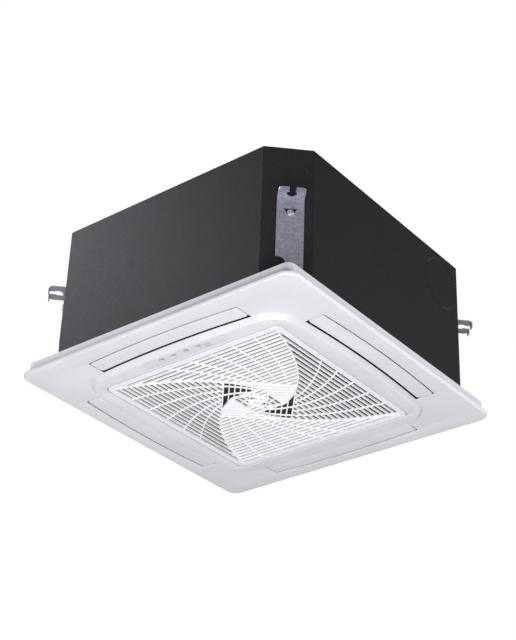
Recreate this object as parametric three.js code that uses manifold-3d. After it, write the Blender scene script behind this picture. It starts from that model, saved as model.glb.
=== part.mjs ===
// Compact four-way ceiling cassette air conditioner, modelled as it hangs: +Z is up, the panel faces down.
// Millimetres. The origin is under the middle of the panel, level with its lowest face. -Y is the display side.
import * as THREE from "three";
import { mergeVertices } from "three/addons/utils/BufferGeometryUtils.js";
import Module from "manifold-3d";

// Driving dimensions. Widths are halves, measured from the unit's axis. Those that follow from another
// size are written as that size and a clearance.
const PANEL_HALF = 310; // the ceiling panel covers one 600 mm ceiling tile
const PANEL_CORNER = 25;
const FRAME_Z = 9; // how far the middle island stands below the frame
const LIP_TOP = FRAME_Z + 7;
const PANEL_TOP = FRAME_Z + 29;
const RIM_HALF = PANEL_HALF - 10;
const SKIN = 3; // moulded wall thickness
const CABINET_HALF = PANEL_HALF - 18;
const CHAMFER = 62; // leg of the cabinet's cut corners
const CABINET_FOOT = PANEL_TOP + 3.2;
const CABINET_HEIGHT = 262.8;
const CABINET_TOP = CABINET_FOOT + CABINET_HEIGHT;
const SHEET = 1.2;
const GAP = 0.3; // between pieces that touch
const SLOT_OUTER = RIM_HALF - 28.5; // a discharge slot's outer edge at the ends
const SLOT_INNER = SLOT_OUTER - 38.5; // its inner edge at the ends
const BOW = 7; // how far both edges bulge at mid length
const VANE_AXIS = SLOT_OUTER - 19.5;
const VANE_AXIS_Z = FRAME_Z + 6;
const ISLAND_CORNER = 60;
const ISLAND_SLOPE = 9;
const SLOT_LENGTH = SLOT_INNER - ISLAND_CORNER - 5; // half length of a discharge slot
const OPENING_HALF = SLOT_INNER - 33.4;
const GRILLE_HALF = OPENING_HALF - 1.6;
const GRILLE_CORNER = 14;
const GRILLE_Z = 0.6;
const FIELD_HALF = GRILLE_HALF - 15; // the slatted field inside the grille's border
const SLAT_PITCH = 10.4;
const SLAT_WIDTH = 2.2;
const SLAT_DEPTH = 6.4;
const HINGE_Y = GRILLE_HALF - 3;
const HINGE_Z = GRILLE_Z + 3;
const HINGE_X = 120;
const PAN_TOP = CABINET_FOOT + 48.8;
const PLATE_Z = PAN_TOP - 20; // underside of the bell mouth plate
const COIL_HALF = CABINET_HALF - 64;
const COIL_DEPTH = 26;
const COIL_TOP = CABINET_TOP - 16;
const PLATE_HALF = CABINET_HALF - 96;
const FAN_RADIUS = COIL_HALF - COIL_DEPTH - 24;
const FAN_TOP = COIL_TOP - 48;
const THROAT = FAN_RADIUS - 57; // radius of the bell mouth's throat
const MOTOR_RADIUS = 48;
const PUMP = [-(CABINET_HALF - 87), CABINET_HALF - 54];
const FLOAT = [PUMP[0] + 35, PUMP[1] - 22];
const PLUG = [-(CABINET_HALF - 70), CABINET_HALF - 70];
const GAS = {
  x: -COIL_HALF + 3,
  y: COIL_HALF - 60,
  z: COIL_TOP - 98,
  top: COIL_TOP - 18,
  r: 6.35,
  nut: 11,
};
const LIQUID = {
  x: -COIL_HALF + 20,
  y: COIL_HALF - 30,
  z: COIL_TOP - 138,
  top: COIL_TOP - 83,
  r: 3.2,
  nut: 8.5,
};
const COIL_END = COIL_HALF - 88; // where the fin pack stops at the pipe corner
const DRAIN_Y = CABINET_HALF - 87;
const DRAIN_Z = CABINET_TOP - 49;
const BRACKET_WIDTH = 47;
const BRACKET_SHIFT = 5; // along the cut corner, towards the wider rod pitch
const LUG_TOP = CABINET_FOOT + 157.8;
const LUG_REACH = 33;
const ROD_SLOT = 12.4;

const wasm = await Module();
wasm.setup();

// Solids: three.js geometry in and out of manifold-3d, which joins and cuts them.
function solid(geometry) {
  const bare = geometry.clone();
  bare.deleteAttribute("normal");
  bare.deleteAttribute("uv");
  const merged = mergeVertices(bare, 1e-4);
  const vertProperties = merged.attributes.position.array;
  const triVerts = new Uint32Array(merged.index.array);
  return new wasm.Manifold(new wasm.Mesh({ numProp: 3, vertProperties, triVerts }));
}

const join = (first, ...rest) => rest.reduce((sum, s) => sum.add(s), first);
const cut = (first, ...rest) => rest.reduce((sum, s) => sum.subtract(s), first);

const unit = new THREE.Group();

function piece(name, shape, material) {
  const mesh = shape.getMesh();
  const geometry = new THREE.BufferGeometry();
  geometry.setAttribute("position", new THREE.BufferAttribute(mesh.vertProperties, 3));
  geometry.setIndex(new THREE.BufferAttribute(mesh.triVerts, 1));
  geometry.computeVertexNormals();
  const part = new THREE.Mesh(geometry, material.clone());
  part.name = name;
  unit.add(part);
}

// Plain forms
function box(x0, x1, y0, y1, z0, z1) {
  const g = new THREE.BoxGeometry(x1 - x0, y1 - y0, z1 - z0);
  return solid(g.translate((x0 + x1) / 2, (y0 + y1) / 2, (z0 + z1) / 2));
}

function prism(points, z0, z1, holes = []) {
  const shape = new THREE.Shape(points);
  shape.holes = holes.map((hole) => new THREE.Path(hole));
  const g = new THREE.ExtrudeGeometry(shape, { depth: z1 - z0, bevelEnabled: false });
  return solid(g.translate(0, 0, z0));
}

function rod(radius, z0, z1, x = 0, y = 0, sides = 16) {
  const g = new THREE.CylinderGeometry(radius, radius, z1 - z0, sides);
  return solid(g.rotateX(Math.PI / 2).translate(x, y, (z0 + z1) / 2));
}

// A rod that lies along X or Y.
function lyingRod(along, radius, from, to, side, z, sides = 16) {
  const g = new THREE.CylinderGeometry(radius, radius, to - from, sides);
  const middle = (from + to) / 2;
  if (along === "x") return solid(g.rotateZ(Math.PI / 2).translate(middle, side, z));
  return solid(g.translate(side, middle, z));
}

// profile is a closed list of [radius, z]; the turned solid stands on the Z axis.
function turned(profile, sides = 32) {
  const points = profile.map(([r, z]) => new THREE.Vector2(r, z));
  return solid(new THREE.LatheGeometry([...points, points[0]], sides).rotateX(Math.PI / 2));
}

// The same outline at several heights, joined into one solid.
function loft(rings) {
  const n = rings[0].points.length;
  const flat = rings.flatMap(({ points, z }) => points.flatMap((p) => [p.x, p.y, z]));
  const index = [];
  for (let k = 0; k + 1 < rings.length; k++) {
    for (let i = 0; i < n; i++) {
      const a = k * n + i;
      const b = k * n + ((i + 1) % n);
      index.push(a, b, b + n, a, b + n, a + n);
    }
  }
  const last = (rings.length - 1) * n;
  for (const [a, b, c] of THREE.ShapeUtils.triangulateShape(rings[0].points, [])) {
    index.push(a, c, b, last + a, last + b, last + c);
  }
  const g = new THREE.BufferGeometry();
  g.setAttribute("position", new THREE.Float32BufferAttribute(flat, 3));
  g.setIndex(index);
  return solid(g);
}

// Outlines, all counter-clockwise
const at = (x, y) => new THREE.Vector2(x, y);

function roundedSquare(half, radius, steps = 5) {
  const points = [];
  for (let corner = 0; corner < 4; corner++) {
    for (let i = 0; i <= steps; i++) {
      const angle = ((corner + i / steps) * Math.PI) / 2;
      const cx = (corner === 0 || corner === 3 ? 1 : -1) * (half - radius);
      const cy = (corner < 2 ? 1 : -1) * (half - radius);
      points.push(at(cx + radius * Math.cos(angle), cy + radius * Math.sin(angle)));
    }
  }
  return points;
}

function octagon(half, chamfer) {
  const s = half - chamfer;
  return [[half, -s], [half, s], [s, half], [-s, half], [-half, s], [-half, -s], [-s, -half], [s, -half]]
    .map(([x, y]) => at(x, y));
}

const circle = (r, sides = 40, x = 0, y = 0) => Array.from({ length: sides }, (_, i) => {
  const angle = (i / sides) * 2 * Math.PI;
  return at(x + r * Math.cos(angle), y + r * Math.sin(angle));
});

const turn = (points, quarter) => points.map((p) => p.clone().rotateAround(at(0, 0), (quarter * Math.PI) / 2));
const bulge = (t) => BOW * (1 - (t / SLOT_LENGTH) ** 2);

// A discharge slot on the -Y side; grow moves every edge outward.
function slotOutline(grow, inner = 0, steps = 8) {
  const half = SLOT_LENGTH + grow;
  const points = [];
  for (let i = 0; i <= steps; i++) {
    const t = -1 + (2 * i) / steps;
    points.push(at(t * half, -(SLOT_OUTER + grow + bulge(t * SLOT_LENGTH))));
  }
  for (let i = 0; i <= steps; i++) {
    const t = 1 - (2 * i) / steps;
    points.push(at(t * half, -(SLOT_INNER + inner - grow + bulge(t * SLOT_LENGTH))));
  }
  return points;
}

// The island: sides bowed like the slots' inner edges, between round corners.
function islandOutline(inset, sideSteps = 8, cornerSteps = 5) {
  const points = [];
  const straight = SLOT_INNER + 1 - ISLAND_CORNER;
  for (let quarter = 0; quarter < 4; quarter++) {
    const side = [];
    for (let i = 0; i <= sideSteps; i++) {
      const t = -1 + (2 * i) / sideSteps;
      side.push(at(t * (SLOT_LENGTH - 2), -(SLOT_INNER + bulge(t * SLOT_LENGTH) - inset)));
    }
    for (let i = 1; i < cornerSteps; i++) {
      const angle = ((i / cornerSteps - 1) * Math.PI) / 2;
      const r = ISLAND_CORNER - inset;
      side.push(at(straight + r * Math.cos(angle), -straight + r * Math.sin(angle)));
    }
    points.push(...turn(side, quarter));
  }
  return points;
}

// Colours and finishes
const paint = (color, roughness, metalness = 0) => {
  return new THREE.MeshStandardMaterial({ color, roughness, metalness });
};
const WHITE_PLASTIC = paint(0xe9e8ee, 0.35);
const CHARCOAL_STEEL = paint(0x3c3b3f, 0.6, 0.3);
const GALVANISED = paint(0xa9acb0, 0.45, 0.9);
const FOAM = paint(0xf4f4f2, 0.9);
const BLACK_PLASTIC = paint(0x1d1d20, 0.5);
const COPPER = paint(0xb87349, 0.3, 1);
const BRASS = paint(0xc9a45c, 0.3, 1);
const ALUMINIUM = paint(0xc4c7ca, 0.4, 0.9);
const GREY_PLASTIC = paint(0xb9b9c0, 0.4);
const CIRCUIT_GREEN = paint(0x2e6b45, 0.5);
const FILTER_GREY = paint(0x55575c, 0.8);

const quarters = [0, 1, 2, 3];
const spin = (shape, quarter) => shape.rotate([0, 0, quarter * 90]);
const SIDES = ["front", "right", "back", "left"]; // -Y, +X, +Y, -X

// Cabinet: folded steel around foam
function knockOutSlits() {
  const [y, z, r, slits, width] = [CABINET_HALF - 121, CABINET_TOP - 64, 50, 6, 1.6];
  const parts = [];
  for (let i = 0; i < slits; i++) {
    const arc = new THREE.Shape();
    const start = (i / slits) * 2 * Math.PI;
    const end = start + (0.84 / slits) * 2 * Math.PI;
    arc.absarc(0, 0, r + width / 2, start, end, false);
    arc.absarc(0, 0, r - width / 2, end, start, true);
    const g = new THREE.ExtrudeGeometry(arc, { depth: 8, bevelEnabled: false, curveSegments: 5 });
    parts.push(solid(g.rotateY(Math.PI / 2).translate(CABINET_HALF - 5, y, z)));
  }
  return parts;
}

// A sheet on the -Y side with mitred ends, its outer face at distance face.
function wallSheet(half, face) {
  const inner = half - SHEET * Math.tan(Math.PI / 8);
  const outline = [at(-half, -face), at(half, -face), at(inner, SHEET - face), at(-inner, SHEET - face)];
  return prism(outline, CABINET_FOOT, CABINET_TOP - 1.8);
}

function sidePanels() {
  const holeIn = (y, z, r) => lyingRod("x", r, -CABINET_HALF - 5, -CABINET_HALF + 5, y, z);
  const pipeHoles = [GAS, LIQUID].map(({ y, z, r }) => holeIn(y, z, r + 3));
  const cuts = { right: knockOutSlits(), left: [...pipeHoles, holeIn(DRAIN_Y, DRAIN_Z, 13.5)] };
  const sheet = wallSheet(CABINET_HALF - CHAMFER - GAP, CABINET_HALF);
  SIDES.forEach((side, quarter) => {
    piece("side_panel_" + side, cut(spin(sheet, quarter), ...(cuts[side] ?? [])), CHARCOAL_STEEL);
  });
}

const CORNER_FACE = (2 * CABINET_HALF - CHAMFER) / Math.SQRT2; // from the axis to a cut corner's face
const CORNERS = ["front_left", "front_right", "back_right", "back_left"];
const toCorner = (shape, quarter) => shape.rotate([0, 0, -45 + quarter * 90]);

function cornerPanels() {
  const sheet = wallSheet(CHAMFER / Math.SQRT2 - GAP, CORNER_FACE);
  CORNERS.forEach((corner, quarter) => {
    piece("corner_panel_" + corner, toCorner(sheet, quarter), CHARCOAL_STEEL);
  });
}

function topPlate() {
  const sheet = prism(octagon(CABINET_HALF, CHAMFER), CABINET_TOP - 1.5, CABINET_TOP);
  const flangeHalf = CABINET_HALF - SHEET - 0.4;
  const flangeHole = octagon(flangeHalf - 1, CHAMFER).reverse();
  const flange = prism(octagon(flangeHalf, CHAMFER - 0.5), CABINET_TOP - 14, CABINET_TOP - 1.5, [flangeHole]);
  piece("top_plate", join(sheet, flange), CHARCOAL_STEEL);
}

// A strap on the cut corner's face whose top is folded outward into a lug. The lug's slot takes a ceiling rod,
// and a lip turned down on each side of the slot keeps the rod in.
function hangerBracket() {
  const front = -(CORNER_FACE + GAP);
  const tip = front - LUG_REACH;
  const half = BRACKET_WIDTH / 2;
  const [foot, thick, corner, down] = [LUG_TOP - 149, 2, 8, 10];
  const strap = box(-half, half, front - thick, front, foot, LUG_TOP - 1);
  const outline = new THREE.Shape([at(half, front), at(-half, front)]);
  outline.absarc(-half + corner, tip + corner, corner, Math.PI, 1.5 * Math.PI, false);
  outline.absarc(half - corner, tip + corner, corner, -Math.PI / 2, 0, false);
  const g = new THREE.ExtrudeGeometry(outline, { depth: thick, bevelEnabled: false, curveSegments: 4 });
  const lug = solid(g.translate(0, 0, LUG_TOP - thick));
  const lip = box(-18, 18, tip, tip + thick, LUG_TOP - down, LUG_TOP - 1);
  const slot = box(-ROD_SLOT / 2, ROD_SLOT / 2, tip - 1, tip + 18, LUG_TOP - down - 1, LUG_TOP + 1);
  const root = rod(9, LUG_TOP - 4, LUG_TOP + 1, 0, tip + 18, 16);
  const notch = lyingRod("y", 13, front - 5, front + 3, -half + 4, LUG_TOP - 133, 18);
  const below = box(-half - 1, -half + 17, front - 5, front + 3, foot - 1, LUG_TOP - 133);
  return cut(join(strap, lug, lip), slot, root, notch, below, screwSeat(front)).translate([BRACKET_SHIFT, 0, 0]);
}

// The opening behind the strap's clamp screw: wide at the top, narrow where the screw sits.
function screwSeat(front) {
  const [top, foot] = [LUG_TOP - 23, LUG_TOP - 35];
  const outline = [at(-4.5, foot), at(4.5, foot), at(11.5, top), at(-11.5, top)];
  const g = new THREE.ExtrudeGeometry(new THREE.Shape(outline), { depth: 10, bevelEnabled: false });
  return solid(g.rotateX(Math.PI / 2).translate(0, front + 4, 0));
}

// The rods hang on a rectangle, so the brackets sit off the diagonals: two are the mirror image of the others.
function hangerBrackets() {
  const bracket = hangerBracket();
  const mirrored = bracket.mirror([1, 0, 0]);
  CORNERS.forEach((corner, quarter) => {
    piece("hanger_bracket_" + corner, toCorner(quarter % 2 ? bracket : mirrored, quarter), GALVANISED);
  });
}

const LINING_OUTER = CABINET_HALF - SHEET - 0.5;
const LINING_INNER = LINING_OUTER - 7;

function insulation() {
  const hollow = octagon(LINING_INNER, CHAMFER).reverse();
  const wall = prism(octagon(LINING_OUTER, CHAMFER), CABINET_FOOT + 1, COIL_TOP, [hollow]);
  const hole = (y, z, r) => lyingRod("x", r, -LINING_OUTER - 5, -LINING_INNER + 5, y, z);
  const pipeHoles = [GAS, LIQUID].map(({ y, z, r }) => hole(y, z, r + 2));
  piece("wall_insulation", cut(wall, ...pipeHoles, hole(DRAIN_Y, DRAIN_Z, 13.5)), FOAM);
  const roof = prism(octagon(LINING_OUTER - 2, CHAMFER), COIL_TOP + 0.5, CABINET_TOP - 1.8);
  piece("roof_insulation", roof, FOAM);
}

// Water side: pan, plug, pump, float and outlet
const PAN_HALF = CABINET_HALF - SHEET - 8;
const GUTTER_Z = PAN_TOP - 10;
const HOSE_Z = GUTTER_Z + 80; // the pump's nozzle
const SHELF_CLEAR = 3.6; // between the pump's shelf and the lining, along the two sides

function drainPan() {
  const block = prism(octagon(PAN_HALF, CHAMFER), CABINET_FOOT + 1, PAN_TOP);
  const well = prism(roundedSquare(PLATE_HALF + 2, 10, 2), CABINET_FOOT, PLATE_Z + 2.3);
  const bore = rod(THROAT + 39, PLATE_Z, PAN_TOP + 1, 0, 0, 40);
  const duct = box(-SLOT_LENGTH, SLOT_LENGTH, -SLOT_OUTER - 4.5, -SLOT_INNER - 6, CABINET_FOOT, PAN_TOP + 1);
  const ducts = quarters.map((q) => spin(duct, q));
  const inner = roundedSquare(COIL_HALF - COIL_DEPTH - 6, 20, 3).reverse();
  const gutter = prism(roundedSquare(COIL_HALF + 7, 50, 4), GUTTER_Z, PAN_TOP + 1, [inner]);
  const [x, y] = PUMP;
  const sump = box(x - 31, x + 25, y - 33, y + 24, GUTTER_Z - 12, PAN_TOP + 1);
  const plug = rod(9, CABINET_FOOT, PAN_TOP, ...PLUG, 16);
  piece("drain_pan", cut(block, well, bore, gutter, sump, plug, ...ducts), FOAM);
  const grip = rod(5, CABINET_FOOT - 1, CABINET_FOOT + 3.8, ...PLUG, 8);
  piece("drain_bung", join(rod(8.6, CABINET_FOOT + 2, GUTTER_Z - 14, ...PLUG, 16), grip), BLACK_PLASTIC);
}

function drainPump() {
  const [x, y] = PUMP;
  const [foot, top] = [GUTTER_Z - 8, COIL_TOP - 54];
  const profile = [
    [0, foot], [7, foot], [9, foot + 48], [20, foot + 60], [20, top - 62],
    [26, top - 56], [26, top], [0, top],
  ];
  const nozzle = lyingRod("x", 6, x - 32, x - 10, y, HOSE_Z, 10);
  piece("drain_pump", join(turned(profile, 20).translate([x, y, 0]), nozzle), GREY_PLASTIC);
  const back = y + 38;
  const left = back + CHAMFER + SHELF_CLEAR - 2 * LINING_INNER; // its back corner stops short of the cut corner
  const shelf = box(left, x + 45, y - 32, back, top + 0.4, top + 2);
  const hanger = box(left, x + 45, back - 1.5, back, top + 1, COIL_TOP);
  piece("pump_bracket", join(shelf, hanger), GALVANISED);
  const collar = rod(6, GUTTER_Z + 1, GUTTER_Z + 3.6, ...FLOAT, 10);
  piece("float_stem", join(rod(3, GUTTER_Z + 0.4, GUTTER_Z + 70, ...FLOAT, 10), collar), GREY_PLASTIC);
  const float = turned([[3.5, 0], [11, 0], [12, 4], [12, 12], [11, 16], [3.5, 16]], 16);
  piece("pump_float", float.translate([...FLOAT, GUTTER_Z + 4]), BLACK_PLASTIC);
}

function drainOutlet() {
  const wall = -CABINET_HALF;
  const across = (radius, from, to) => lyingRod("x", radius, wall + from, wall + to, DRAIN_Y, DRAIN_Z, 20);
  const collar = cut(across(19, -4, -GAP), across(12, -8, 2));
  piece("drain_outlet", cut(join(across(13, -17, 30), collar), across(10, -18, 31)), GREY_PLASTIC);
  const [x, y] = PUMP;
  const route = new THREE.CatmullRomCurve3([
    new THREE.Vector3(x - 33.4, y, HOSE_Z),
    new THREE.Vector3(x - 40, y, HOSE_Z + 0.5),
    new THREE.Vector3(wall + 40, y - 3, HOSE_Z + 12),
    new THREE.Vector3(wall + 40, y - 12, DRAIN_Z - 50),
    new THREE.Vector3(wall + 49, DRAIN_Y + 7, DRAIN_Z - 15),
    new THREE.Vector3(wall + 45, DRAIN_Y + 1, DRAIN_Z - 1),
    new THREE.Vector3(wall + 31.6, DRAIN_Y, DRAIN_Z),
  ]);
  const g = new THREE.ExtrudeGeometry(new THREE.Shape(circle(5.5, 8)), { steps: 20, extrudePath: route });
  piece("drain_hose", solid(g), BLACK_PLASTIC);
}

// Refrigerant side: fin pack, end plates and the two pipes
function coil() {
  const inner = roundedSquare(COIL_HALF - COIL_DEPTH, 22, 4).reverse();
  const ring = prism(roundedSquare(COIL_HALF, 48, 5), GUTTER_Z + 0.4, COIL_TOP - 0.4, [inner]);
  const corner = box(-COIL_HALF - 5, -COIL_END - 10, COIL_END, COIL_HALF + 5, 0, CABINET_TOP);
  piece("coil_fin_pack", cut(ring, corner), ALUMINIUM);
  const [low, high] = [GUTTER_Z + 0.4, COIL_TOP - 0.4];
  const inside = COIL_HALF - COIL_DEPTH - 3;
  piece("coil_end_plate_left", box(-COIL_HALF - 3, -inside, COIL_END + 0.4, COIL_END + 1.8, low, high), GALVANISED);
  piece("coil_end_plate_back", box(-COIL_END - 11.8, -COIL_END - 10.4, inside, COIL_HALF + 3, low, high), GALVANISED);
}

function pipe({ x, y, z, r, nut, top }, name) {
  const header = rod(r, z - 40, top, x, y, 12);
  const branch = lyingRod("y", r * 0.6, COIL_END + 2.1, y, x, top - 12, 8);
  const stub = lyingRod("x", r, -CABINET_HALF - 4, x, y, z, 12);
  piece(name + "_pipe", join(header, stub, branch), COPPER);
  const g = new THREE.CylinderGeometry(nut, nut, 12.4, 6);
  const hex = solid(g.rotateZ(Math.PI / 2).translate(-CABINET_HALF - 10.6, y, z));
  const bore = lyingRod("x", r + 0.5, -CABINET_HALF - 18, -CABINET_HALF + 2, y, z, 12);
  piece(name + "_flare_nut", cut(hex, bore), BRASS);
}

function pipeCover() {
  const face = -CABINET_HALF;
  const plate = box(face - 1.8, face - GAP, GAS.y - 33, LIQUID.y + 24, LIQUID.z - 25, GAS.z + 32);
  const holes = [GAS, LIQUID].map(({ y, z, r }) => lyingRod("x", r + 1.5, face - 7, face + 7, y, z, 16));
  piece("pipe_cover_plate", cut(plate, ...holes), GALVANISED);
}

// Air side: bell mouth, turbo fan and its motor
function bellMouth() {
  const [r, z] = [THROAT, PLATE_Z];
  const plate = prism(roundedSquare(PLATE_HALF, 8, 2), z, z + 2, [circle(r + 28.5, 32).reverse()]);
  const flare = turned([
    [r + 30, z], [r + 30, z + 2], [r + 11, z + 8], [r + 3, z + 22], [r + 3, z + 36],
    [r, z + 36], [r, z + 21], [r + 8, z + 6], [r + 27, z],
  ], 32);
  piece("bell_mouth", join(plate, flare), WHITE_PLASTIC);
}

function fanWheel() {
  const [R, r, top] = [FAN_RADIUS, THROAT, FAN_TOP];
  const hub = FAN_TOP - 60;
  const eye = PLATE_Z + 29; // the shroud's lower edge, round the throat
  const backPlate = turned([
    [5, hub], [16, hub], [16, hub + 6], [52, hub + 10], [77, top - 2], [R, top - 2],
    [R, top], [75, top], [50, hub + 13], [14, hub + 10], [5, hub + 10],
  ], 28);
  const shroud = turned([
    [r + 7, eye], [r + 10, eye], [r + 14, eye + 19], [r + 29, eye + 35],
    [R, eye + 49], [R, eye + 51.5], [r + 28, eye + 38], [r + 11, eye + 21],
  ], 28);
  const room = turned([
    [r - 21, eye + 19], [r + 13, eye + 20], [r + 29, eye + 36.5],
    [R, eye + 50], [R, top - 1], [70, top - 1], [70, hub + 20],
  ], 28);
  const count = 7;
  const blades = Array.from({ length: count }, (_, i) => {
    const whole = prism(bladeOutline(), eye + 1, top - 1);
    return whole.rotate([0, 0, (360 * i) / count]).intersect(room);
  });
  piece("fan_wheel", join(backPlate, shroud, ...blades), BLACK_PLASTIC);
  piece("motor_shaft", rod(4, hub - 16, hub + 15.6, 0, 0, 12), GALVANISED);
  const g = new THREE.CylinderGeometry(9, 9, 8, 6);
  const nut = solid(g.rotateX(Math.PI / 2).translate(0, 0, hub - 4.4));
  piece("fan_nut", cut(nut, rod(4.4, hub - 20, hub + 10, 0, 0, 12)), GALVANISED);
}

// A blade seen along the axis: it leans back and thins from root to tip.
function bladeOutline() {
  const [root, reach, steps] = [THROAT - 9, FAN_RADIUS - THROAT + 7, 4];
  const edge = (side) => Array.from({ length: steps + 1 }, (_, s) => {
    const k = s / steps;
    const radius = root + k * reach;
    const angle = 0.62 * k + (side / radius) * (1.4 - k);
    return at(radius * Math.cos(angle), radius * Math.sin(angle));
  });
  return [...edge(-2), ...edge(2).reverse()];
}

function fanMotor() {
  const [R, foot, lid] = [MOTOR_RADIUS, FAN_TOP - 44, COIL_TOP - 14];
  const body = turned([
    [0, foot], [14, foot], [14, foot + 6], [R - 6, foot + 8],
    [R, foot + 14], [R, lid - 6], [R - 4, lid], [0, lid],
  ], 28);
  const legs = [0, 1, 2].map((k) => box(-8, 8, 30, 60, lid + 2, COIL_TOP).rotate([0, 0, k * 120]));
  piece("fan_motor", body, GALVANISED);
  piece("motor_mount", join(rod(R + 14, lid + 0.4, lid + 3, 0, 0, 28), ...legs), GALVANISED);
}

// Control box beside the bell mouth
function controlBox() {
  const [x0, x1, y0, y1, z0, z1] = [-150, 110, -PLATE_HALF, -PLATE_HALF + 43, PLATE_Z - 38, PLATE_Z - GAP];
  const inside = box(x0 + SHEET, x1 - SHEET, y0 + SHEET, y1 - SHEET, z0 - 1, z1 - SHEET);
  piece("control_box", cut(box(x0, x1, y0, y1, z0, z1), inside), GALVANISED);
  piece("control_box_cover", box(x0, x1, y0, y1, z0 - 1.6, z0 - GAP), GALVANISED);
  const floor = PLATE_Z - 10;
  const board = box(-90, 104, y0 + 5, y1 - 5, floor, floor + 1.6);
  const parts = [[-80, -50, 24], [-44, -30, 14], [-10, 20, 18], [40, 66, 12], [76, 96, 20]];
  const blocks = parts.map(([a, b, h]) => box(a, b, y0 + 10, y1 - 11, floor + 0.5 - h, floor + 0.5));
  const posts = [-86, 100].flatMap((x) => [y0 + 9, y1 - 9].map((y) => {
    return box(x - 2, x + 2, y - 2, y + 2, floor + 1, z1 - SHEET - GAP);
  }));
  piece("circuit_board", join(board, ...blocks, ...posts), CIRCUIT_GREEN);
  piece("terminal_block", box(-144, -100, y0 + 8, y1 - 11, PLATE_Z - 18, z1 - SHEET - GAP), BLACK_PLASTIC);
}

// Ceiling panel
function island() {
  const steps = [[0, ISLAND_SLOPE], [0.8, 5.6], [3, 2.6], [6, 0.8], [FRAME_Z, 0], [LIP_TOP, 0]];
  return loft(steps.map(([z, inset]) => ({ z, points: islandOutline(inset) })));
}

function hingeEar(side) {
  const x = side * (HINGE_X + 9);
  const [x0, x1] = [x - 1.5, x + 1.5];
  const ear = join(
    box(x0, x1, HINGE_Y - 2.4, HINGE_Y + 1.2, HINGE_Z - 1.6, 13),
    box(x0, x1, HINGE_Y - 2.4, OPENING_HALF + 1, 10, 13),
  );
  const pin = lyingRod("x", 1.4, x - 9, x + 1, HINGE_Y, HINGE_Z, 10);
  return join(ear, side > 0 ? pin : lyingRod("x", 1.4, x - 1, x + 9, HINGE_Y, HINGE_Z, 10));
}

const DISPLAY = [-80, 105, -OPENING_HALF - 28.4, -OPENING_HALF - 9.4];
const SENSOR = [53, 67, -OPENING_HALF - 22.4, -OPENING_HALF - 10.4];

// The grille's well. Its back corners are squarer, which lets the grille's corners pass as it swings down.
function grilleWell() {
  const back = prism(roundedSquare(OPENING_HALF, 8), -1, PANEL_TOP + 1);
  const half = cut(back, box(-PANEL_HALF, PANEL_HALF, -PANEL_HALF, 0, -2, PANEL_TOP + 2));
  return join(prism(roundedSquare(OPENING_HALF, GRILLE_CORNER + 1.6), -1, PANEL_TOP + 1), half);
}

function panelFrame() {
  const lip = prism(roundedSquare(PANEL_HALF, PANEL_CORNER), FRAME_Z, LIP_TOP);
  const rim = prism(roundedSquare(RIM_HALF, PANEL_CORNER - 5), LIP_TOP - 1, PANEL_TOP);
  const floor = FRAME_Z + SKIN + 0.5;
  const shell = join(lip, rim, island());
  const slots = quarters.map((q) => spin(prism(slotOutline(1.5, 1.5), FRAME_Z - 0.5, PANEL_TOP + 1), q));
  const slotWalls = quarters.map((q) => spin(prism(slotOutline(4, 1.5), -2, PANEL_TOP + 2), q));
  const well = prism(roundedSquare(OPENING_HALF + SKIN, 11), -2, PANEL_TOP + 2);
  const posts = quarters.map((q) => spin(box(-4, 4, -RIM_HALF, -SLOT_OUTER - BOW - 5.5, 0, PANEL_TOP + 2), q));
  const inRim = prism(roundedSquare(RIM_HALF - SKIN, PANEL_CORNER - 8), floor, PANEL_TOP + 1);
  const upper = cut(inRim, ...slotWalls, well, ...posts);
  const lower = cut(prism(islandOutline(ISLAND_SLOPE), SKIN, floor + 1), ...slotWalls, well);
  const lipGroove = prism(roundedSquare(PANEL_HALF - SKIN, PANEL_CORNER - 3), floor, LIP_TOP + 1, [
    roundedSquare(RIM_HALF, PANEL_CORNER - 5).reverse(),
  ]);
  const [x0, x1, y0, y1] = DISPLAY;
  const display = box(x0 - GAP, x1 + GAP, y0 - GAP, y1 + GAP, -1, 1.8);
  const reach = SLOT_LENGTH + 9;
  const bores = quarters.map((q) => spin(lyingRod("x", 2.5, -reach, reach, -VANE_AXIS, VANE_AXIS_Z, 12), q));
  const body = cut(shell, grilleWell(), upper, lower, lipGroove, display, ...slots, ...bores);
  piece("panel_frame", join(body, hingeEar(-1), hingeEar(1)), WHITE_PLASTIC);
}

function panelGasket() {
  const hole = octagon(CABINET_HALF - 9, CHAMFER).reverse();
  const ring = prism(octagon(CABINET_HALF - 1, CHAMFER), PANEL_TOP + GAP, CABINET_FOOT - GAP, [hole]);
  piece("panel_gasket", ring, FILTER_GREY);
}

function display() {
  const [x0, x1, y0, y1] = DISPLAY;
  const [a, b, c, d] = SENSOR;
  const strip = cut(box(x0, x1, y0, y1, 0.15, 1.5), box(a - GAP, b + GAP, c - GAP, d + GAP, -1, 5));
  piece("display_window", strip, WHITE_PLASTIC);
  piece("infrared_window", box(a, b, c, d, 0.15, 1.5), GREY_PLASTIC);
  piece("display_board", box(x0 + 4, x1 - 4, y0 + 1, y1 + 4, SKIN + GAP, SKIN + 1.9), CIRCUIT_GREEN);
}

// Vane of the -Y side: a bowed blade on two stub pins.
function vane() {
  const outline = slotOutline(0, 3.4);
  const blade = prism(outline, FRAME_Z, FRAME_Z + 2.6);
  const rib = box(-SLOT_LENGTH + 6, SLOT_LENGTH - 6, -VANE_AXIS - 9, -VANE_AXIS - 7.4, FRAME_Z + 2, FRAME_Z + 6);
  const ends = [-1, 1].flatMap((side) => {
    const x = side * (SLOT_LENGTH - 3);
    const arm = box(x - 1.5, x + 1.5, -VANE_AXIS - 4, -VANE_AXIS + 4, FRAME_Z + 1, VANE_AXIS_Z + 3);
    const pin = side > 0 ? [x, SLOT_LENGTH + 4] : [-SLOT_LENGTH - 4, x];
    return [arm, lyingRod("x", 2, pin[0], pin[1], -VANE_AXIS, VANE_AXIS_Z, 10)];
  });
  return join(blade, rib, ...ends);
}

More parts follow.
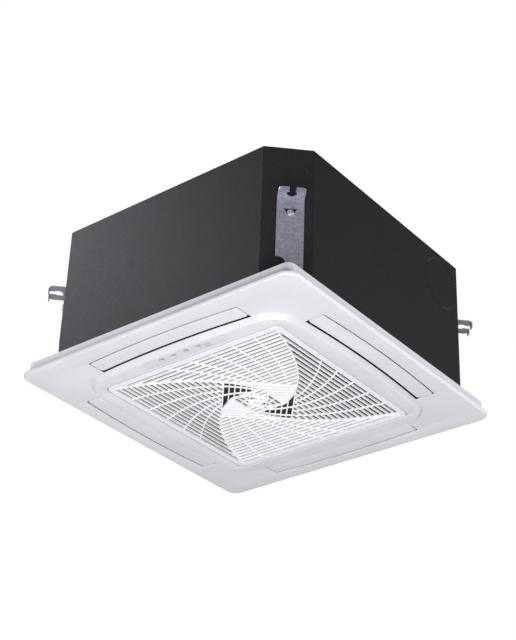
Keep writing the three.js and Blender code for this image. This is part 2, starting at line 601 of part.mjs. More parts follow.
function vaneMotor() {
  const x0 = SLOT_LENGTH + 6.5;
  const body = lyingRod("x", 10, x0, x0 + 14, -VANE_AXIS, VANE_AXIS_Z + 9, 20);
  const boss = lyingRod("x", 2.4, SLOT_LENGTH + 6, x0 + 1, -VANE_AXIS, VANE_AXIS_Z, 10);
  const ears = box(x0, x0 + 1.5, -VANE_AXIS - 15, -VANE_AXIS + 15, VANE_AXIS_Z + 6, VANE_AXIS_Z + 12);
  return join(body, boss, ears);
}

function vanes() {
  SIDES.forEach((side, quarter) => {
    piece("vane_" + side, spin(vane(), quarter), WHITE_PLASTIC);
    piece("vane_motor_" + side, spin(vaneMotor(), quarter), BLACK_PLASTIC);
  });
}

// Intake grille: nested squares, each turned an eighth of a turn, joined by four whirling arms.
const FIELD_RADIUS = FIELD_HALF * Math.SQRT2;
const armRadius = (phi) => FIELD_RADIUS * Math.exp(-(1.694 * phi - 0.397 * phi * phi));
// Past the second square the whirl tightens at a steady rate.
const STEADY = Math.PI / 2;
const whirlRadius = (phi) => (phi < STEADY ? armRadius(phi) : armRadius(STEADY) * Math.exp(-0.9 * (phi - STEADY)));

function armPoint(corner, phi) {
  const angle = -0.75 * Math.PI + (corner * Math.PI) / 2 + phi;
  return at(whirlRadius(phi) * Math.cos(angle), whirlRadius(phi) * Math.sin(angle));
}

const LEVELS = [0, 0.721, STEADY, 0.75 * Math.PI]; // how far each nested square's corners have whirled
const ribPoint = (corner, share, phi) => armPoint(corner, phi).lerp(armPoint(corner + 1, phi), share);

function ribbon(corner, share, width, phiEnd, steps) {
  const points = Array.from({ length: steps + 1 }, (_, i) => ribPoint(corner, share, (phiEnd * i) / steps));
  const sideways = points.map((p, i) => {
    const before = points[Math.max(i - 1, 0)];
    const after = points[Math.min(i + 1, steps)];
    return after.clone().sub(before).rotateAround(at(0, 0), Math.PI / 2).setLength(width / 2);
  });
  const left = points.map((p, i) => p.clone().add(sideways[i]));
  const right = points.map((p, i) => p.clone().sub(sideways[i]));
  return prism([...right, ...left.reverse()], GRILLE_Z, GRILLE_Z + SLAT_DEPTH);
}

// One sector between two arms at one level: slats parallel to that level's square side.
function sector(corner, level) {
  const [from, to] = [LEVELS[level], LEVELS[level + 1]];
  const steps = level ? 2 : 4;
  const arc = (c) => Array.from({ length: steps + 1 }, (_, i) => armPoint(c, from + ((to - from) * i) / steps));
  const region = prism([...arc(corner).reverse(), ...arc(corner + 1)], GRILLE_Z, GRILLE_Z + SLAT_DEPTH);
  const a = armPoint(corner, from);
  const b = armPoint(corner + 1, from);
  const along = b.clone().sub(a);
  const angle = (along.angle() * 180) / Math.PI;
  const distance = Math.abs(a.cross(b)) / along.length();
  const slats = [];
  for (let d = distance - SLAT_PITCH; d > 4; d -= SLAT_PITCH) {
    const slat = box(-FIELD_RADIUS, FIELD_RADIUS, -d, -d + SLAT_WIDTH, GRILLE_Z, GRILLE_Z + SLAT_DEPTH);
    slats.push(slat.rotate([0, 0, angle]));
  }
  const edge = box(-FIELD_RADIUS, FIELD_RADIUS, -distance - 1, -distance + 1, GRILLE_Z, GRILLE_Z + SLAT_DEPTH);
  return join(edge.rotate([0, 0, angle]), ...slats).intersect(region);
}

function grille() {
  const border = prism(roundedSquare(GRILLE_HALF, GRILLE_CORNER), GRILLE_Z, GRILLE_Z + SKIN, [
    roundedSquare(FIELD_HALF, 0.5, 1).reverse(),
  ]);
  const wall = prism(roundedSquare(GRILLE_HALF - 1.5, GRILLE_CORNER), GRILLE_Z + 1, 12, [
    roundedSquare(GRILLE_HALF - 3.5, GRILLE_CORNER - 2).reverse(),
  ]);
  const sectors = quarters.flatMap((corner) => [0, 1, 2].map((level) => sector(corner, level)));
  const arms = quarters.map((corner) => ribbon(corner, 0, 2.4, 0.95 * Math.PI, 14));
  const ribs = quarters.map((corner) => ribbon(corner, 0.5, 1.6, STEADY, 5));
  const hub = rod(16, GRILLE_Z, GRILLE_Z + SLAT_DEPTH, 0, 0, 12);
  const field = join(...sectors, ...arms, ...ribs, hub);
  const fieldEdge = prism(roundedSquare(FIELD_HALF + 1, 0.5, 1), GRILLE_Z, GRILLE_Z + SLAT_DEPTH);
  const knuckles = [-1, 1].map((side) => {
    const x = side * HINGE_X;
    return lyingRod("x", 3, x - 5, x + 5, HINGE_Y, HINGE_Z, 10);
  });
  const cuts = [-1, 1].flatMap((side) => {
    const x = side * (HINGE_X + 9);
    const bore = side > 0 ? [HINGE_X - 7, x] : [x, -HINGE_X + 7];
    return [
      box(x - 2.3, x + 2.3, HINGE_Y - 5, GRILLE_HALF + 1, 0, 14),
      lyingRod("x", 1.8, bore[0], bore[1], HINGE_Y, HINGE_Z, 10),
    ];
  });
  const whole = cut(join(border, wall, field.intersect(fieldEdge), ...knuckles), ...cuts);
  piece("intake_grille", whole, WHITE_PLASTIC);
}

function airFilter() {
  const [half, low, high] = [FIELD_HALF + 1, GRILLE_Z + SLAT_DEPTH + GAP, GRILLE_Z + 11.3];
  const cells = 5;
  const pitch = (2 * half - 12) / cells;
  const pockets = [];
  for (let i = 0; i < cells; i++) {
    for (let j = 0; j < cells; j++) {
      const x = -half + 6 + (i + 0.5) * pitch;
      const y = -half + 6 + (j + 0.5) * pitch;
      const s = pitch / 2 - 2;
      pockets.push(box(x - s, x + s, y - s, y + s, low + 1, high + 1));
    }
  }
  piece("air_filter", cut(prism(roundedSquare(half, 8, 2), low, high), ...pockets), FILTER_GREY);
}

// Push latches at the display side hold the grille's free edge.
function latches() {
  const y = -OPENING_HALF + 9.6;
  const low = FRAME_Z + 9;
  [["left", -130], ["right", 130]].forEach(([side, x]) => {
    const housing = box(x - 9, x + 9, -OPENING_HALF + GAP, y + 7, low, low + 12);
    piece("latch_housing_" + side, cut(housing, rod(3.6, low - 1, low + 9, x, y, 12)), WHITE_PLASTIC);
    const tip = rod(2, GRILLE_Z + 3.6, low - 1, x, y, 10);
    piece("latch_plunger_" + side, join(rod(3.2, low - 1.8, low + 5.6, x, y, 12), tip), GREY_PLASTIC);
  });
}

topPlate();
sidePanels();
cornerPanels();
hangerBrackets();
insulation();
drainPan();
drainPump();
drainOutlet();
coil();
pipe(GAS, "gas");
pipe(LIQUID, "liquid");
pipeCover();
bellMouth();
fanWheel();
fanMotor();
controlBox();
panelFrame();
panelGasket();
display();
vanes();
grille();
airFilter();
latches();

export default unit;
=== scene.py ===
# %% [markdown]
# # Compact four-way ceiling cassette air conditioner
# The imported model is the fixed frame. Everything is in metres, +Z is up, and the panel faces down.
# The display side of the panel looks towards -Y. Lengths below are in millimetres and are turned into
# metres where a mesh is made.

# %%
import math
import bpy
import bmesh
from mathutils import Matrix, Vector
from mathutils.geometry import tessellate_polygon


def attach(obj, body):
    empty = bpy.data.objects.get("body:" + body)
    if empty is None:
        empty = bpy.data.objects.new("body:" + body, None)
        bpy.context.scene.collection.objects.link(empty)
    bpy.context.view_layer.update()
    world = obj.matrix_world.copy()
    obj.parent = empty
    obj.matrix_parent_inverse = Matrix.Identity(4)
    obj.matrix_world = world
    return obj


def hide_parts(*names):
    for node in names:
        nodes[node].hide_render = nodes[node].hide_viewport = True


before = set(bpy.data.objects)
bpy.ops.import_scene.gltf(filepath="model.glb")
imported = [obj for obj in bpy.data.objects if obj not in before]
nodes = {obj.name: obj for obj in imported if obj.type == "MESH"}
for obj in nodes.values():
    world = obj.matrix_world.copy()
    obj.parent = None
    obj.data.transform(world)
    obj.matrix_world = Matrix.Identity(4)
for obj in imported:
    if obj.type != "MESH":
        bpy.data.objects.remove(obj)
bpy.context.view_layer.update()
MM = 0.001

# %% [markdown]
# ## Driving sizes
# Widths are halves, measured from the middle of the unit. Heights start at the island's lowest face.

# %%
PANEL_HALF, PANEL_CORNER = 310.0, 25.0
RIM_HALF, RIM_TOP = 300.0, 38.0
FRAME_Z, FRAME_TOP, LIP_TOP = 9.0, 12.5, 16.0
SLOT_LENGTH, SLOT_INNER, SLOT_OUTER, BOW = 168.0, 233.0, 271.5, 7.0
SLOT_GAP, SLOT_EDGE = 1.5, 1.4
WEB_PLACES, DOT_Y, DOT_PITCH = (-130, -45, 45, 130), 295, 6
VANE_AXIS, VANE_AXIS_Z, VANE_TOP = 252.0, 15.0, 11.6
ISLAND_CORNER, ISLAND_SLOPE, ISLAND_LAP = 60.0, 9.0, 4.0
ISLAND_BACK = FRAME_Z + 0.6
OPENING_HALF, GRILLE_HALF, GRILLE_CORNER = 199.6, 198.0, 14.0
GRILLE_Z, FIELD_HALF, SLAT_DEPTH = 0.6, 186.0, 4.8
SLAT_PITCH, SLAT_WIDTH, FIRST_SLAT = 10.4, 2.2, 6.8
ARM_WIDTH, RIB_WIDTH, RIB_SUNK = 2.4, 1.4, 0.9
ARM_ROUND, RIB_ROUND, SLAT_ROUND, FIELD_CORNER = 0.7, 0.35, 0.6, 0.8
HINGE_Y, HINGE_Z, EAR_X, KNUCKLE_X = 195, 3.6, 129, 120
WELL_BACK_CORNER = 8.0
DISPLAY = (-80.0, 105.0, -228.0, -209.0)
POCKET_GAP, POCKET_DEPTH = 0.3, 1.8
CABINET_HALF, CHAMFER = 292.0, 62.0
CORNER_FACE = (2 * CABINET_HALF - CHAMFER) / math.sqrt(2)
BRACKET_SHIFT, STRAP_FACE, SCREW_Z = 5.0, 2.3, 167
KNOCK_OUT, RIVET_REACH = (CABINET_HALF, 171.0, 240.0), 47.5

# %% [markdown]
# ## Mesh tools
# An outline is a list of (x, y). A form is a pair of lists, points and faces, and forms are added up
# before one object is made of them.

# %%
def linear(hex_colour):
    """sRGB hex to linear RGBA."""
    channels = [int(hex_colour[i:i + 2], 16) / 255 for i in (0, 2, 4)]
    return [c / 12.92 if c <= 0.04045 else ((c + 0.055) / 1.055) ** 2.4 for c in channels] + [1.0]


def merge(*forms):
    points, faces = [], []
    for p, f in forms:
        start = len(points)
        points += p
        faces += [tuple(i + start for i in face) for face in f]
    return points, faces


def loft(rings, closed=False, caps=False):
    """Faces between rings of equally many (x, y, z) points."""
    n = len(rings[0])
    points = [p for ring in rings for p in ring]
    faces = []
    steps = len(rings) if closed else len(rings) - 1
    for k in range(steps):
        a, b = k * n, ((k + 1) % len(rings)) * n
        faces += [(a + i, a + (i + 1) % n, b + (i + 1) % n, b + i) for i in range(n)]
    if caps:
        faces += [tuple(reversed(range(n))), tuple(range((len(rings) - 1) * n, len(rings) * n))]
    return points, faces


def flat(outlines, z):
    """A flat face inside the first outline and outside the others."""
    loops = [[Vector((x, y, z)) for x, y in outline] for outline in outlines]
    points = [tuple(p) for loop in loops for p in loop]
    return points, [tuple(t) for t in tessellate_polygon(loops)]


def lift(outline, z):
    return [(x, y, z) for x, y in outline]


def block(low, high):
    (x0, y0, z0), (x1, y1, z1) = low, high
    outline = [(x0, y0), (x1, y0), (x1, y1), (x0, y1)]
    return loft([lift(outline, z0), lift(outline, z1)], caps=True)


def turned(profile, sides):
    """A form turned about Z from (radius, z) pairs, closed on itself or at the axis."""
    rings = [[(r * math.cos(a), r * math.sin(a), z) for a in angles(sides)] for r, z in profile]
    return loft(rings, caps=True)


def angles(sides):
    return [2 * math.pi * i / sides for i in range(sides)]


def moved(form, matrix):
    return [tuple(matrix @ Vector(p)) for p in form[0]], form[1]


def quarter_turned(form, quarter):
    return moved(form, Matrix.Rotation(quarter * math.pi / 2, 3, "Z"))


def lying(form, side=1):
    """The form laid down, with its +Z end towards +X, or towards -X where side is -1."""
    return moved(form, Matrix.Rotation(side * math.pi / 2, 3, "Y"))


def make(name, form, material, body="unit", smooth=40, replaces=()):
    """One object from a form in millimetres, welded, facing out, with its material and its body."""
    mesh = bpy.data.meshes.new(name)
    mesh.from_pydata([Vector(p) * MM for p in form[0]], [], form[1])
    bm = bmesh.new()
    bm.from_mesh(mesh)
    bmesh.ops.remove_doubles(bm, verts=bm.verts, dist=1e-6)
    bmesh.ops.recalc_face_normals(bm, faces=bm.faces)
    bm.to_mesh(mesh)
    bm.free()
    obj = bpy.data.objects.new(name, mesh)
    bpy.context.scene.collection.objects.link(obj)
    mesh.materials.append(material)
    finish_surface(obj, smooth)
    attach(obj, body)
    if replaces:
        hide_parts(*replaces)
    return obj


def finish_surface(obj, smooth, bevel=0.0):
    """Smooth shading up to an angle, and a small rounding on sharp edges where bevel asks for it."""
    obj.data.shade_smooth()
    obj.data.set_sharp_from_angle(angle=math.radians(smooth))
    if bevel:
        rounding = obj.modifiers.new("edge_rounding", "BEVEL")
        rounding.width = bevel * MM
        rounding.segments = 2
        rounding.limit_method = "ANGLE"
        rounding.angle_limit = math.radians(40)
        rounding.harden_normals = True


# %% [markdown]
# ## Outlines
# The panel's round-cornered squares, the island and the bowed discharge slots round it.

# %%
SIDE_STEPS, CORNER_STEPS = 24, 12


def square(half, radius, bow=0.0, reach=None):
    """A round-cornered square; its sides bulge by bow inside reach."""
    outline = []
    straight = half - radius
    reach = reach or straight
    for quarter in range(4):
        turn = Matrix.Rotation(quarter * math.pi / 2, 2)
        for i in range(SIDE_STEPS + 1):
            t = (2 * i / SIDE_STEPS - 1) * straight
            swell = bow * max(0.0, 1 - (t / reach) ** 2)
            outline.append(tuple(turn @ Vector((t, -(half + swell)))))
        for i in range(1, CORNER_STEPS):
            a = -math.pi / 2 + i / CORNER_STEPS * math.pi / 2
            corner = Vector((straight + radius * math.cos(a), -straight + radius * math.sin(a)))
            outline.append(tuple(turn @ corner))
    return outline


def island(inset):
    """The island's outline; its sides bow with the slots."""
    return square(SLOT_INNER + 1 - inset, ISLAND_CORNER - inset, BOW, SLOT_LENGTH)


def offset(outline, distance):
    """The outline moved outward by distance along its own normals."""
    n = len(outline)
    grown = []
    for i in range(n):
        before, after = Vector(outline[i - 1]), Vector(outline[(i + 1) % n])
        along = (after - before).normalized()
        grown.append((outline[i][0] + along.y * distance, outline[i][1] - along.x * distance))
    return grown


def bulge(t):
    """How far a slot bows outward at t from its middle."""
    return BOW * (1 - (t / SLOT_LENGTH) ** 2)


def slot_outline(grow, inner=0.0, radius=3.0, inner_radius=3.0, outer=0.0, steps=20):
    """A discharge slot on the -Y side, counter-clockwise, with round corners.

    It grows all round, and inner and outer then draw its two long sides back in.
    """
    half = SLOT_LENGTH + grow
    outer_y, inner_y = SLOT_OUTER + grow - outer, SLOT_INNER + inner - grow

    def along(r):
        return [(2 * i / steps - 1) * (half - r) for i in range(steps + 1)]

    def corner(side, r, centre_y, start):
        turn = [start + i / 6 * math.pi / 2 for i in range(1, 6)]
        return [(side * (half - r) + r * math.cos(a), centre_y + r * math.sin(a)) for a in turn]

    far = [(t, -(outer_y + bulge(t))) for t in along(radius)]
    near = [(-t, -(inner_y + bulge(t))) for t in along(inner_radius)]
    outer_c, inner_c = far[0][1] + radius, near[0][1] - inner_radius
    right = corner(1, radius, outer_c, -math.pi / 2) + corner(1, inner_radius, inner_c, 0)
    left = corner(-1, inner_radius, inner_c, math.pi / 2) + corner(-1, radius, outer_c, math.pi)
    return far + right + near + left


def all_round(outline):
    """The outline on all four sides."""
    turns = [Matrix.Rotation(q * math.pi / 2, 2) for q in range(4)]
    return [[tuple(turn @ Vector(p)) for p in outline] for turn in turns]


# %% [markdown]
# ## Materials
# One small function adds a node. Every pattern's scale is one over its real size in metres, and a wave
# texture of scale one has 3.2 bands in a metre.

# %%
WAVES_PER_SCALE = 3.2


def add_node(tree, kind, links=None, **values):
    """A node with its settings; links maps an input to the socket that feeds it."""
    node = tree.nodes.new(kind)
    for key, value in values.items():
        if key in node.inputs:
            node.inputs[key].default_value = value
        else:
            setattr(node, key, value)
    for key, socket in (links or {}).items():
        tree.links.new(socket, node.inputs[key])
    return node


def start_material(name):
    material = bpy.data.materials.new(name)
    material.use_nodes = True
    tree = material.node_tree
    tree.nodes.clear()
    place = add_node(tree, "ShaderNodeTexCoord").outputs["Object"]
    return material, tree, place


def close_material(tree, colour, roughness, height, depth_mm, **values):
    """The shader, with a colour socket, a roughness socket and a height socket pressed depth_mm deep."""
    bump = add_node(tree, "ShaderNodeBump", {"Height": height}, Strength=1.0, Distance=depth_mm * MM)
    sockets = {"Base Color": colour, "Roughness": roughness, "Normal": bump.outputs["Normal"]}
    shader = add_node(tree, "ShaderNodeBsdfPrincipled", sockets, **values)
    add_node(tree, "ShaderNodeOutputMaterial", {"Surface": shader.outputs[0]})


def noise(tree, place, size_mm, detail=2.0, rough=0.5):
    node = add_node(tree, "ShaderNodeTexNoise", {"Vector": place}, Scale=1 / (size_mm * MM),
                    Detail=detail)
    node.inputs["Roughness"].default_value = rough
    return node.outputs["Fac"]


def ramp(tree, fac, low, high, start=0.3, end=0.7):
    """Two colours, or two grey values, blended by fac."""
    node = add_node(tree, "ShaderNodeValToRGB", {"Fac": fac})
    stops = node.color_ramp.elements
    for stop, place, value in ((stops[0], start, low), (stops[1], end, high)):
        stop.position = place
        stop.color = linear(value) if isinstance(value, str) else (value, value, value, 1)
    return node.outputs["Color"]


def moulded(name, low, high, roughness=(0.34, 0.44), grain_mm=0.9, depth_mm=0.02, **values):
    """Injection-moulded plastic: fine spark-eroded grain and a faint drift in tone."""
    material, tree, place = start_material(name)
    colour = ramp(tree, noise(tree, place, 90), low, high)
    rough = ramp(tree, noise(tree, place, 25), *roughness)
    close_material(tree, colour, rough, noise(tree, place, grain_mm, 3), depth_mm, **values)
    return material


def coated_steel(name, low, high):
    """Textured powder coating on sheet steel: a pebbled grain 2 mm wide with finer specks in it."""
    material, tree, place = start_material(name)
    grain = noise(tree, place, 2.2, 4, 0.65)
    colour = ramp(tree, grain, low, high)
    rough = ramp(tree, noise(tree, place, 5), 0.46, 0.56)
    values = {"Specular IOR Level": 0.1}
    close_material(tree, colour, rough, noise(tree, place, 1.6, 3), 0.07, **values)
    return material


def galvanised(name):
    """Satin zinc: a fine matte grain with soft crystals 3 mm wide that hardly show."""
    material, tree, place = start_material(name)
    crystals = add_node(tree, "ShaderNodeTexVoronoi", {"Vector": place}, Scale=1 / (3 * MM))
    colour = ramp(tree, crystals.outputs["Color"], "9d9cab", "b2b1c1", 0.2, 0.8)
    rough = ramp(tree, noise(tree, place, 4, 3), 0.42, 0.54)
    close_material(tree, colour, rough, noise(tree, place, 1.2, 3), 0.015, Metallic=0.75)
    return material


def bead_foam(name):
    """Expanded bead foam: closed beads of 3 mm pressed together."""
    material, tree, place = start_material(name)
    beads = add_node(tree, "ShaderNodeTexVoronoi", {"Vector": place}, Scale=1 / (3.2 * MM))
    colour = ramp(tree, beads.outputs["Distance"], "fbfbf8", "dcdcd8", 0.1, 0.7)
    rough = ramp(tree, noise(tree, place, 12), 0.75, 0.9)
    close_material(tree, colour, rough, beads.outputs["Distance"], 0.3)
    return material


def bare_metal(name, low, high, grain_mm=0.7, roughness=(0.22, 0.4)):
    """Drawn or machined metal with fine scratches and a tarnish drift."""
    material, tree, place = start_material(name)
    colour = ramp(tree, noise(tree, place, 14, 4), low, high)
    rough = ramp(tree, noise(tree, place, 5), *roughness)
    close_material(tree, colour, rough, noise(tree, place, grain_mm), 0.02, Metallic=1.0)
    return material


def banded(name, low, high, period_mm, axis, metallic, depth_mm):
    """Thin parallel ribs, such as fins seen edge on."""
    material, tree, place = start_material(name)
    scale = 1 / (period_mm * MM) / WAVES_PER_SCALE
    bands = add_node(tree, "ShaderNodeTexWave", {"Vector": place}, Scale=scale, bands_direction=axis)
    colour = ramp(tree, bands.outputs["Fac"], low, high)
    rough = ramp(tree, noise(tree, place, 9), 0.35, 0.5)
    close_material(tree, colour, rough, bands.outputs["Fac"], depth_mm, Metallic=metallic)
    return material


def woven_net(name):
    """A fine plastic filter net: crossing threads 1.3 mm apart, which is 768 in a metre."""
    material, tree, place = start_material(name)
    threads = [add_node(tree, "ShaderNodeTexWave", {"Vector": place}, Scale=768 / WAVES_PER_SCALE,
                        bands_direction=axis) for axis in ("X", "Y")]
    crossed = add_node(tree, "ShaderNodeMath", operation="MAXIMUM")
    for i, thread in enumerate(threads):
        tree.links.new(thread.outputs["Fac"], crossed.inputs[i])
    colour = ramp(tree, crossed.outputs[0], "040405", "17181c", 0.55, 0.95)
    rough = ramp(tree, noise(tree, place, 8), 0.6, 0.8)
    close_material(tree, colour, rough, crossed.outputs[0], 0.2)
    return material


def solder_mask(name):
    """A green board with copper tracks showing through the mask."""
    material, tree, place = start_material(name)
    tracks = add_node(tree, "ShaderNodeTexBrick", {"Vector": place}, Scale=1 / (9 * MM))
    tracks.inputs["Mortar Size"].default_value = 0.06
    tracks.inputs["Color1"].default_value = linear("1f5a37")
    tracks.inputs["Color2"].default_value = linear("27693f")
    tracks.inputs["Mortar"].default_value = linear("4d8a55")
    rough = ramp(tree, noise(tree, place, 6), 0.3, 0.45)
    close_material(tree, tracks.outputs["Color"], rough, tracks.outputs["Fac"], 0.05)
    return material


WHITE_ABS = moulded("cool_white_abs", "cccbd2", "d3d2d8", (0.36, 0.44), 0.7, 0.008)
GRILLE_ABS = moulded("grille_white_abs", "dad9df", "e1e0e6", (0.32, 0.4), 0.7, 0.006)
THIN_WALL = {"Subsurface Weight": 0.3, "Subsurface Scale": 0.0015, "Subsurface Radius": (1.0, 1.0, 1.0)}
# The slats are the same white plastic as the panel, coloured brighter as painted light.
LIT_SLAT_ABS = moulded("slat_white_abs_painted_light", "f8f7ff", "fdfcff", (0.3, 0.38), 0.7, 0.004, **THIN_WALL)
DISPLAY_ACRYLIC = moulded("display_strip_acrylic", "c9c8cf", "cecdd4", (0.12, 0.2), 2.0, 0.004)
GREY_ABS = moulded("grey_moulded_plastic", "a8a9b1", "b6b7be")
BLACK_ABS = moulded("black_moulded_plastic", "1b1b1e", "242428", (0.45, 0.6), 0.8, 0.03)
# Flat black: the rivets' own colour, and painted shade on the duct walls and the knock-out's shadow ring.
FLAT_BLACK_AND_SHADE = moulded("flat_black_and_painted_shade", "0c0c0e", "151518", (0.85, 0.95), 0.5, 0.1)
RUBBER = moulded("black_rubber", "141416", "1c1c1f", (0.65, 0.8), 1.2, 0.05)
LED_LENS = moulded("indicator_lens", "b2b2bc", "bcbcc6", (0.1, 0.15), 1.0, 0.003)
SENSOR_LENS = moulded("infrared_lens", "b0b0ba", "babac4", (0.12, 0.2), 1.0, 0.003)
PRINT_GREY = moulded("pad_print_grey", "4b4b54", "55555e", (0.4, 0.5), 0.6, 0.002)
CHARCOAL = coated_steel("charcoal_powder_coat", "100f13", "1e1d22")
# A lighter copy of the charcoal coat, as painted light: the corner panels and the knock-out's lips are the
# same coat as the sides.
LIT_CHARCOAL = coated_steel("charcoal_coat_painted_light", "1f1d20", "322f33")
ZINC = galvanised("galvanised_steel")
SCREW_ZINC = bare_metal("zinc_plated_screw", "c2c3cc", "dfe0e8", 0.5, (0.3, 0.42))
FOAM = bead_foam("bead_foam")
COPPER = bare_metal("copper_tube", "a35c36", "c9835a")
BRASS = bare_metal("machined_brass", "b08a45", "d3b06b")
FINS = banded("aluminium_fins", "6d7074", "c9ccd0", 1.6, "DIAGONAL", 0.9, 0.3)
NET = woven_net("filter_net")
BOARD = solder_mask("circuit_board_mask")
print("materials:", len(bpy.data.materials))

# %% [markdown]
# ## Carried-over pieces
# Nodes whose shape is right keep it and get the finish of what they are made of. Those with visible
# sharp edges get a small rounding as well.

# %%
CARRIED = {
    CHARCOAL: ["side_panel", "top_plate"],
    # The corner panels take the lighter charcoal, painted light.
    LIT_CHARCOAL: ["corner_panel"],
    ZINC: ["hanger_bracket", "pump_bracket", "coil_end_plate", "pipe_cover_plate", "fan_motor",
           "motor_mount", "control_box"],
    SCREW_ZINC: ["motor_shaft", "fan_nut"],
    FOAM: ["wall_insulation", "roof_insulation", "drain_pan"],
    BLACK_ABS: ["fan_wheel", "terminal_block", "vane_motor", "pump_float"],
    RUBBER: ["drain_bung", "drain_hose", "panel_gasket"],
    GREY_ABS: ["drain_pump", "float_stem", "drain_outlet", "latch_plunger"],
    WHITE_ABS: ["bell_mouth", "latch_housing"],
    DISPLAY_ACRYLIC: ["display_window"],
    SENSOR_LENS: ["infrared_window"],
    FINS: ["coil_fin_pack"],
    COPPER: ["gas_pipe", "liquid_pipe"],
    BRASS: ["gas_flare_nut", "liquid_flare_nut"],
    NET: ["air_filter"],
    BOARD: ["circuit_board", "display_board"],
}
ROUNDED = {"hanger_bracket": 0.5, "control_box": 0.4, "terminal_block": 0.8, "latch_housing": 0.8,
           "drain_pan": 2.0}

for material, stems in CARRIED.items():
    for name, obj in nodes.items():
        stem = next((s for s in stems if name.startswith(s)), None)
        if stem is None:
            continue
        obj.data.materials.clear()
        obj.data.materials.append(material)
        finish_surface(obj, 30, ROUNDED.get(stem, 0.0))
print("carried over:", sum(bool(o.data.materials) for o in nodes.values()))

# %% [markdown]
# ## Panel
# One moulding: a flange with a chamfered lip, the rim and webs behind it, and the island that stands proud
# in the middle with the grille's well and hinge ears. The short ducts behind the slots are black inside as
# painted shade in the slot gaps, so they are a piece of their own.

# %%
def flange():
    """The flat frame, with its lip, a slot on each side and the hole that the island covers."""
    slots = all_round(slot_outline(SLOT_GAP, inner=SLOT_GAP))
    under_island = island(ISLAND_LAP)
    top = LIP_TOP - FRAME_Z
    fillet = [(0.9, 0.0), (0.45, 0.12), (0.12, 0.45), (0.0, 0.9)]
    lip = [(3.8, 0.0), (3.2, 0.08), (0.9, 1.9), (0.3, 2.6), (0.0, 3.4), (0.0, top - 0.6), (0.6, top),
           (2.6, top), (3.0, top - 0.5), (3.0, 3.5)]
    outer = [square(PANEL_HALF - inset, PANEL_CORNER - inset) for inset, _ in lip]
    forms = [loft([lift(o, FRAME_Z + z) for o, (_, z) in zip(outer, lip)])]
    for slot in slots:
        rings = [lift(offset(slot, d), FRAME_Z + z) for d, z in fillet]
        forms.append(loft(rings + [lift(slot, FRAME_Z + SLOT_EDGE)]))
    forms.append(loft([lift(under_island, FRAME_Z), lift(under_island, FRAME_TOP)]))
    forms.append(flat([outer[0], under_island] + [offset(s, fillet[0][0]) for s in slots], FRAME_Z))
    forms.append(flat([outer[-1], under_island] + slots, FRAME_TOP))
    return merge(*forms)


def ducts():
    """The slots' short ducts, black inside as painted shade seen through the slot gaps."""
    low = FRAME_Z + SLOT_EDGE
    forms = []
    for slot in all_round(slot_outline(SLOT_GAP, inner=SLOT_GAP)):
        wall = [(0, low), (0, RIM_TOP), (2.5, RIM_TOP), (2.5, low)]
        forms.append(loft([lift(offset(slot, d), z) for d, z in wall], closed=True))
    return merge(*forms)


def panel_walls():
    """The rim and the stiffening webs behind the flange."""
    corner = PANEL_CORNER - (PANEL_HALF - RIM_HALF)
    low = FRAME_TOP - 0.5
    rim = [(0, low), (0, RIM_TOP - 0.5), (0.5, RIM_TOP), (2.5, RIM_TOP), (3, RIM_TOP - 0.5),
           (3, low)]
    forms = [loft([lift(square(RIM_HALF - i, corner - i), z) for i, z in rim], closed=True)]
    for quarter in range(4):
        for t in WEB_PLACES:
            web = block((t - 1, -RIM_HALF + 2, low), (t + 1, -SLOT_OUTER - bulge(t) - 3, RIM_TOP - 6))
            forms.append(quarter_turned(web, quarter))
    return merge(*forms)


def well_outline(grow, corner):
    """The grille's opening; its back corners are tighter, for the grille's swing."""
    wide = square(OPENING_HALF + grow, corner + grow)
    tight = square(OPENING_HALF + grow, WELL_BACK_CORNER + grow)
    return [near if near[1] < 0 else far for near, far in zip(wide, tight)]


def island_form():
    """The raised middle: flat face, sloping shoulder, the display's pocket and the grille's well."""
    x0, x1, y0, y1 = DISPLAY
    x0, x1, y0, y1 = x0 - POCKET_GAP, x1 + POCKET_GAP, y0 - POCKET_GAP, y1 + POCKET_GAP
    pocket = [(x0, y0), (x1, y0), (x1, y1), (x0, y1)]
    shoulder = [(ISLAND_SLOPE, 0.0), (ISLAND_SLOPE - 0.9, 0.12), (7.3, 0.55), (6.5, 1.3), (5.2, 2.7),
                (3.9, 4.2), (2.6, 5.8), (1.4, 7.3), (0.6, 8.3), (0.0, 8.8), (0.0, ISLAND_BACK),
                (3.5, ISLAND_BACK)]
    slope = [lift(island(inset), z) for inset, z in shoulder]
    corner = GRILLE_CORNER + OPENING_HALF - GRILLE_HALF
    well = [(1.0, 0.0), (0.3, 0.3), (0.0, 1.0), (0.0, RIM_TOP), (3.0, RIM_TOP), (3.0, ISLAND_BACK)]
    wall = [lift(well_outline(grow, corner), z) for grow, z in well]
    face = flat([island(shoulder[0][0]), well_outline(well[0][0], corner), pocket], 0.0)
    sunk = loft([lift(pocket, 0.0), lift(pocket, POCKET_DEPTH)])
    bottom = flat([pocket], POCKET_DEPTH)
    back = flat([island(shoulder[-1][0]), well_outline(well[-1][0], corner)], ISLAND_BACK)
    return merge(face, loft(slope), loft(wall), sunk, bottom, back)


def hinge_ears():
    """Two ears at the well's back edge, each with a pin that points inward."""
    front, low, high, pin_length = HINGE_Y - 2.4, 2.0, 13.0, 9
    forms = []
    for side in (-1, 1):
        x = side * EAR_X
        forms.append(block((x - 1.5, front, low), (x + 1.5, HINGE_Y + 1.2, high)))
        forms.append(block((x - 1.5, front, high - 3), (x + 1.5, OPENING_HALF + 1, high)))
        pin = lying(turned([(1.4, 0), (1.4, pin_length)], 16))
        start = x - pin_length if side > 0 else x
        forms.append(moved(pin, Matrix.Translation((start, HINGE_Y, HINGE_Z))))
    return merge(*forms)


